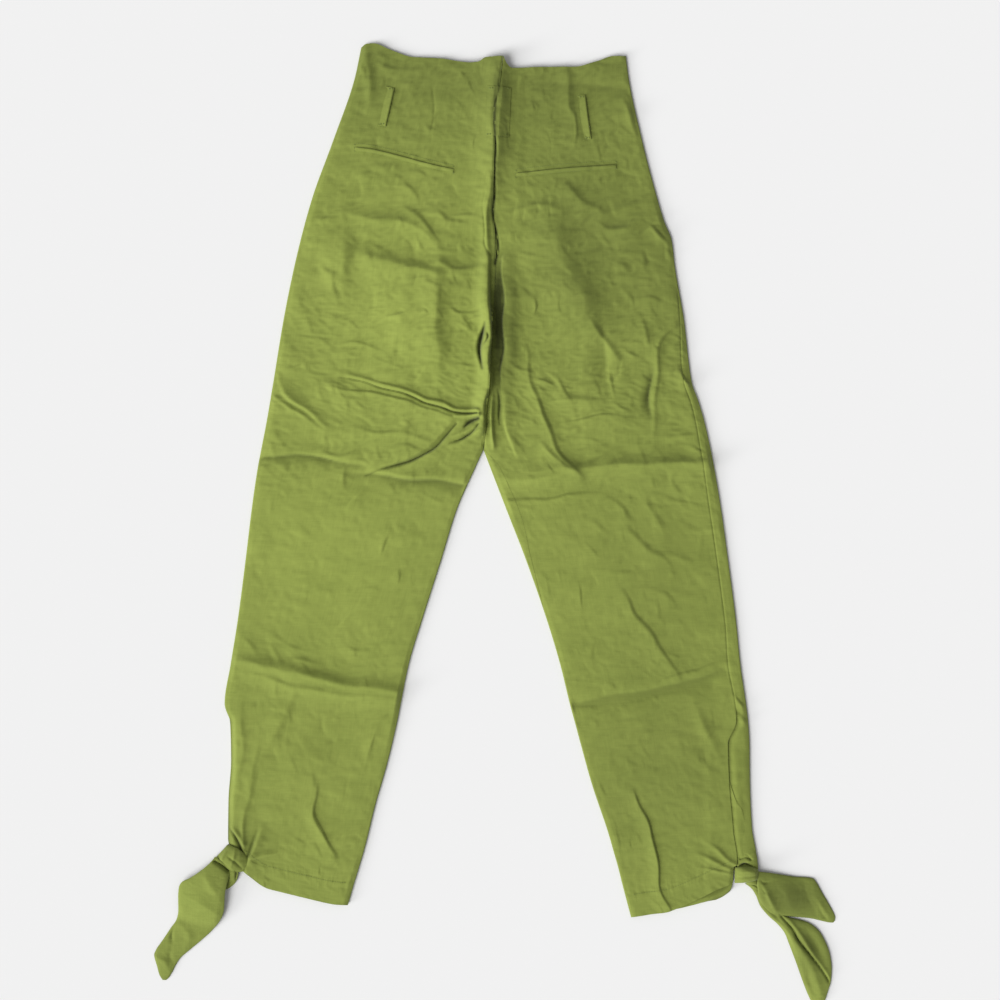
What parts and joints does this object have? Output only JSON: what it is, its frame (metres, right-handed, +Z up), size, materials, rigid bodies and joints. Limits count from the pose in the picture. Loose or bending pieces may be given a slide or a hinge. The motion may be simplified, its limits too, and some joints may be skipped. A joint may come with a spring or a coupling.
{
  "type": "linen trousers with ankle ties",
  "caption": "High-waisted linen trousers laid flat on their front, back upwards, with belt loops, welt pockets, slit ankles and knotted ankle ties.",
  "frame": {"origin": "middle of the bounding box, on the surface that the trousers lie on", "axes": "+Y up the trousers to the waist, +Z up from the surface, out of the back; +X to the right as seen from above"},
  "size_m": [0.7808, 1.1074, 0.0148],
  "materials": {
    "linen": "matt plain-woven linen",
    "hidden_linen": "matt plain-woven linen, unseen side",
    "zip_tape": "matt woven tape"
  },
  "bodies": {
    "root": {"back_left": "linen", "back_right": "linen", "front_left": "linen", "front_right": "linen", "belt_loop_left": "linen", "belt_loop_right": "linen", "belt_loop_centre": "linen", "welt_left": "linen", "welt_right": "linen", "pocket_bag_left": "hidden_linen", "pocket_bag_right": "hidden_linen", "slit_facing_right": "linen", "fly_zip": "zip_tape", "tie_left_upper": "linen", "tie_left_lower": "linen", "tie_right_upper": "linen", "tie_right_lower": "linen", "knot_left": "linen", "knot_right": "linen"}
  },
  "joints": []
}
